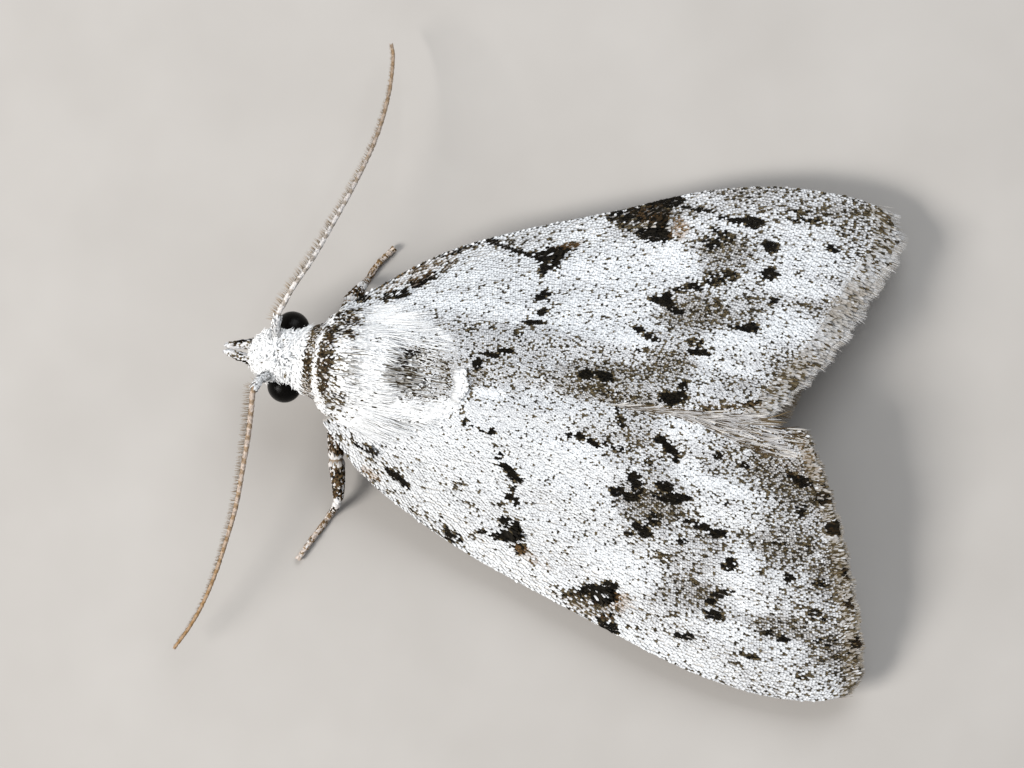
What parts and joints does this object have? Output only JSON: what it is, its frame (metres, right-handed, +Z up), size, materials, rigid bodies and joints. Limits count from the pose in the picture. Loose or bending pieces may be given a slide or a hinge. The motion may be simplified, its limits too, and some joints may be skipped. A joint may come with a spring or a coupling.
{
  "type": "moth",
  "caption": "Still life-size model of a small white moth at rest, dark-speckled wings folded as a low roof over the body, feelers spread.",
  "frame": {"origin": "point on the floor under the middle of the moth's bounding box", "axes": "+Y from head to tail, +X to the moth's left, +Z up from the floor it stands on"},
  "size_m": [0.0103, 0.0113, 0.0024],
  "materials": {
    "body_scales": "matt white and grey hair-like scales",
    "abdomen_scales": "matt grey-white scales",
    "forewing_scales": "matt white scales flecked with brown-black",
    "hindwing_scales": "matt grey-brown scales",
    "eye": "glossy black compound eye",
    "antenna": "pale scales banded with brown",
    "palp_scales": "dark scales with pale tips",
    "leg": "brown scales with white rings"
  },
  "bodies": {
    "root": {"head": "body_scales", "collar": "body_scales", "thorax": "body_scales", "abdomen": "abdomen_scales", "forewing_left": "forewing_scales", "forewing_right": "forewing_scales", "hindwing_left": "hindwing_scales", "hindwing_right": "hindwing_scales", "eye_left": "eye", "eye_right": "eye", "antenna_left": "antenna", "antenna_right": "antenna", "palps": "palp_scales", "foreleg_left": "leg", "foreleg_right": "leg", "midleg_left": "leg", "midleg_right": "leg", "hindleg_left": "leg", "hindleg_right": "leg"}
  },
  "joints": []
}
